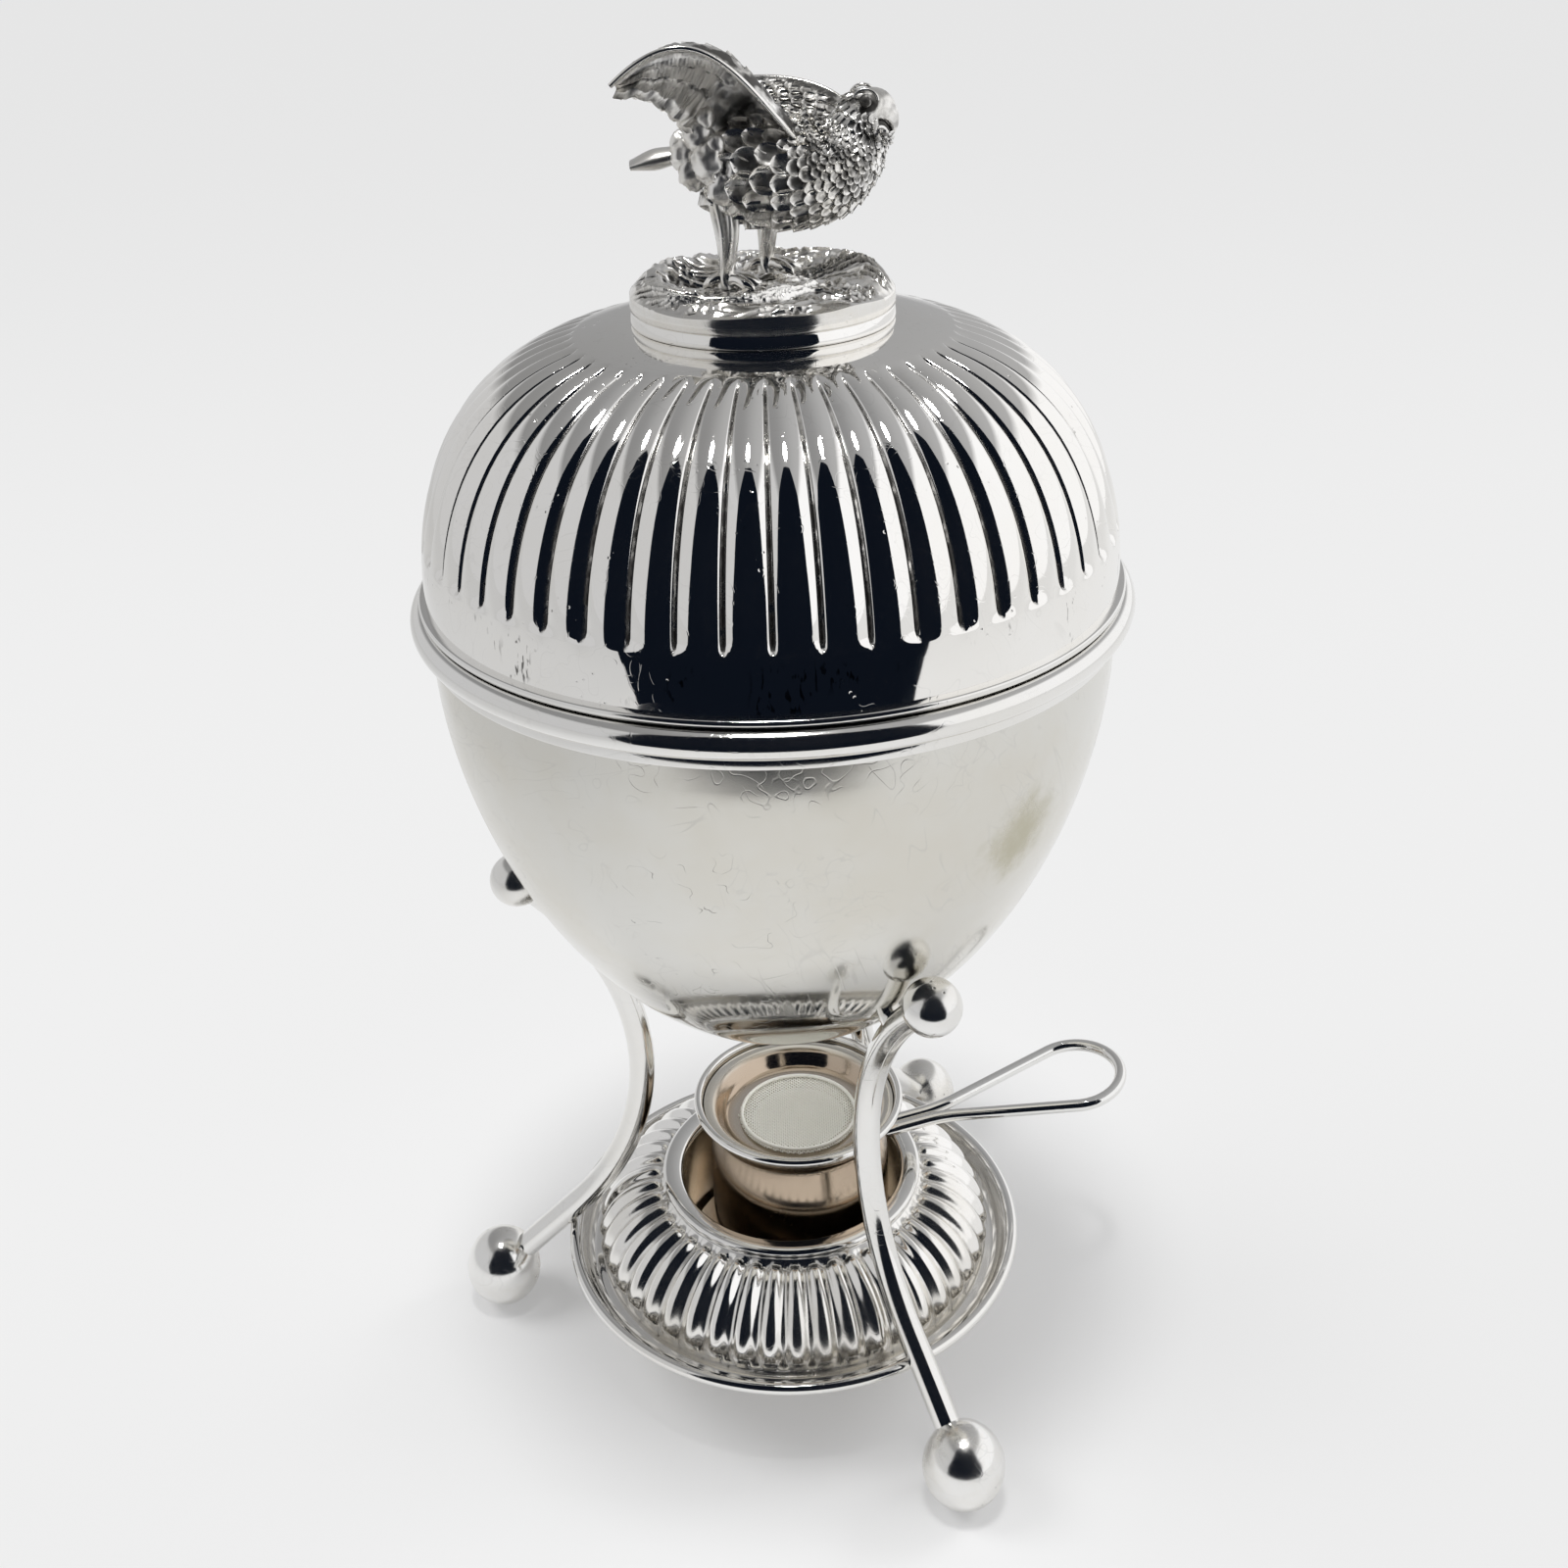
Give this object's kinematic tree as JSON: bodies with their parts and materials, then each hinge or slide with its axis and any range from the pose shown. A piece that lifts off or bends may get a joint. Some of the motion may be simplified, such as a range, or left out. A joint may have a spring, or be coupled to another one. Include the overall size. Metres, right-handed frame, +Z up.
{
  "type": "egg coddler",
  "caption": "Egg coddler: egg-shaped bowl on bent rod legs with ball feet, fluted lift-off lid with a bird finial, lift-out egg rack, and a spirit burner in a fluted tray.",
  "frame": {"origin": "on the table, on the bowl's axis", "axes": "+Z up along the bowl's axis, +X the way the bird faces, -Y towards the viewer"},
  "size_m": [0.1386, 0.1217, 0.2458],
  "materials": {
    "silver_plate": "polished silver plate over nickel silver, softly worn",
    "cast_silver": "cast and chased silver plate, darkened in the hollows",
    "heated_plate": "silver plate tinted warm by heat",
    "brass_fixing": "turned brass",
    "gauze": "woven wire gauze",
    "wick": "absorbent packing"
  },
  "bodies": {
    "stand": {"bowl": "silver_plate", "rim_bead": "silver_plate", "rim_band": "silver_plate", "leg_front": "silver_plate", "leg_left": "silver_plate", "leg_rear": "silver_plate", "foot_front": "silver_plate", "foot_left": "silver_plate", "foot_rear": "silver_plate", "ball_front": "silver_plate", "ball_left": "silver_plate", "ball_rear": "silver_plate", "tray": "silver_plate", "tray_rim": "silver_plate", "well_cup": "silver_plate", "well_collar": "silver_plate"},
    "lid": {"lid_dome": "silver_plate", "lid_flange": "silver_plate", "lid_collar": "silver_plate", "finial_plinth": "silver_plate", "rock_base": "cast_silver", "bird": "cast_silver", "wing_right": "cast_silver", "wing_left": "cast_silver", "bird_leg_right": "cast_silver", "bird_leg_left": "cast_silver", "finial_stud": "brass_fixing", "finial_washer": "brass_fixing", "finial_nut": "brass_fixing"},
    "burner": {"burner_cup": "heated_plate", "burner_rim": "silver_plate", "burner_cover": "heated_plate", "gauze_disc": "gauze", "gauze_ring": "silver_plate", "wick_pad": "wick", "burner_handle": "silver_plate"},
    "egg_rack": {"rack_stem": "silver_plate", "rack_ring": "silver_plate", "rack_spokes": "silver_plate", "egg_ring_1": "silver_plate", "egg_ring_2": "silver_plate", "egg_ring_3": "silver_plate", "egg_ring_4": "silver_plate", "rack_plate": "silver_plate", "rack_feet": "silver_plate"}
  },
  "joints": [
    {"name": "lid_lift", "type": "slide", "parent": "stand", "child": "lid", "axis": [0, 0, 1], "range_m": [0, 0.12]},
    {"name": "rack_lift", "type": "slide", "parent": "stand", "child": "egg_rack", "axis": [0, 0, 1], "range_m": [0, 0.028]},
    {"name": "burner_lift", "type": "slide", "parent": "stand", "child": "burner", "axis": [0, 0, 1], "range_m": [0, 0.022]}
  ]
}
